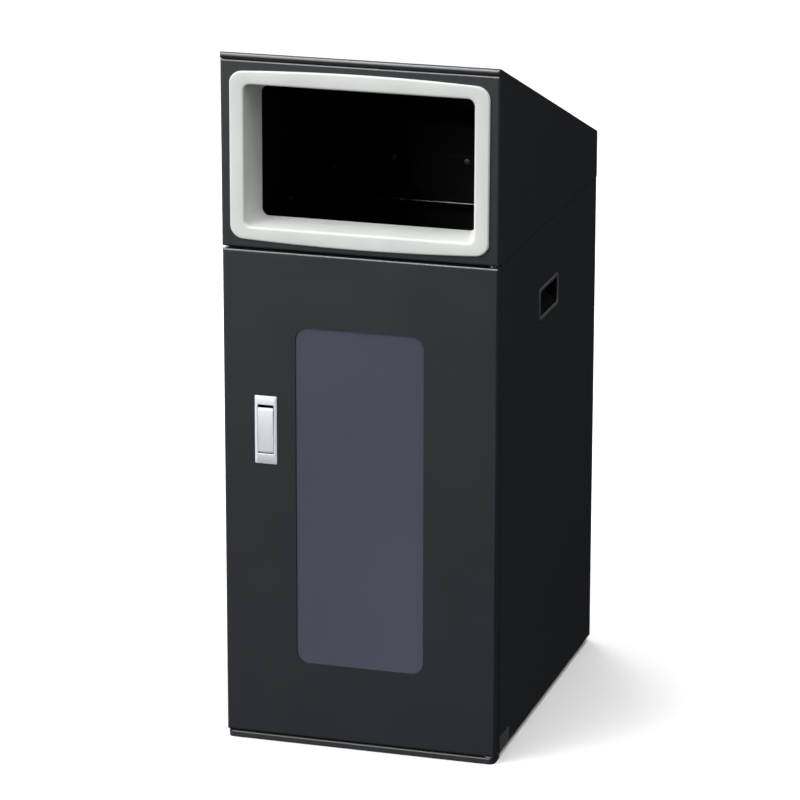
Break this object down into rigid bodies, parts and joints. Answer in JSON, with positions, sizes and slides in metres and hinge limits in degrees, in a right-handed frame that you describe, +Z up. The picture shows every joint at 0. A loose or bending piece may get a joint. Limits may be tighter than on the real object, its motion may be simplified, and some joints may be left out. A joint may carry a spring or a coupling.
{
  "type": "waste bin cabinet",
  "caption": "Indoor waste cabinet with a sloping hood, an open collared throat, a hinged door with a smoked window and a pull latch, and a tilting bag ring inside.",
  "frame": {"origin": "on the floor, under the middle of the whole object", "axes": "+X right along the front face, +Y from the front to the back, +Z up"},
  "size_m": [0.3524, 0.483, 0.88],
  "materials": {
    "body_paint": "fine-textured satin charcoal powder coat",
    "inner_steel": "satin black",
    "rail_plastic": "satin",
    "black_plastic": "fine moulded grain",
    "grip_plastic": "fine moulded grain, dark grey",
    "plated_steel": "zinc plated",
    "nylon": "grey",
    "rubber": "matte",
    "label_film": "blank satin film",
    "collar_plastic": "satin light grey",
    "smoked_pane": "smoked transparent sheet",
    "silver_metal": "satin silver",
    "ring_rod": "gloss black"
  },
  "bodies": {
    "cabinet": {"side_panel_left": "body_paint", "side_panel_right": "body_paint", "back_panel": "body_paint", "hood_front_panel": "body_paint", "hood_side_left": "body_paint", "hood_side_right": "body_paint", "hood_roof": "body_paint", "hood_back": "body_paint", "base_pan": "inner_steel", "front_header": "inner_steel", "cabinet_rails": "inner_steel", "hood_rails": "inner_steel", "hinge_bracket": "inner_steel", "ring_brackets": "inner_steel", "ring_rests": "inner_steel", "collar_retainer": "inner_steel", "kick_rail": "rail_plastic", "hand_grip_left": "grip_plastic", "hand_grip_right": "grip_plastic", "magnet_catch": "black_plastic", "rear_glides": "black_plastic", "kick_rail_screws": "plated_steel", "glide_screws": "plated_steel", "bracket_rivets": "plated_steel", "hinge_pins": "plated_steel", "hood_bolts": "plated_steel", "hood_nuts": "plated_steel", "back_rivets": "plated_steel", "collar_screws": "plated_steel", "hinge_washer": "nylon", "blank_label": "label_film", "opening_collar": "collar_plastic"},
    "door": {"door_panel": "body_paint", "door_back_frame": "body_paint", "window_pane": "smoked_pane", "pane_frame": "black_plastic", "pane_screws": "plated_steel", "door_bushes": "nylon", "latch_plate": "silver_metal", "latch_housing": "black_plastic", "latch_screws": "plated_steel", "paddle_pin": "plated_steel", "paddle_spring": "plated_steel", "strike_plate": "plated_steel", "door_buffers": "rubber"},
    "paddle": {"latch_paddle": "silver_metal"},
    "ring": {"bag_ring": "ring_rod"}
  },
  "joints": [
    {"name": "door_hinge", "type": "hinge", "parent": "cabinet", "child": "door", "pos_m": [0.167, -0.2315, 0.323], "axis": [0, 0, 1], "range_deg": [0, 110]},
    {"name": "paddle_pull", "type": "hinge", "parent": "door", "child": "paddle", "pos_m": [-0.12, -0.2365, 0.3824], "axis": [1, 0, 0], "range_deg": [0, 35], "stiffness_Nm_per_rad": 0.06, "springref_deg": -20.05},
    {"name": "ring_tilt", "type": "hinge", "parent": "cabinet", "child": "ring", "pos_m": [0, 0.186, 0.604], "axis": [-1, 0, 0], "range_deg": [0, 30]}
  ]
}
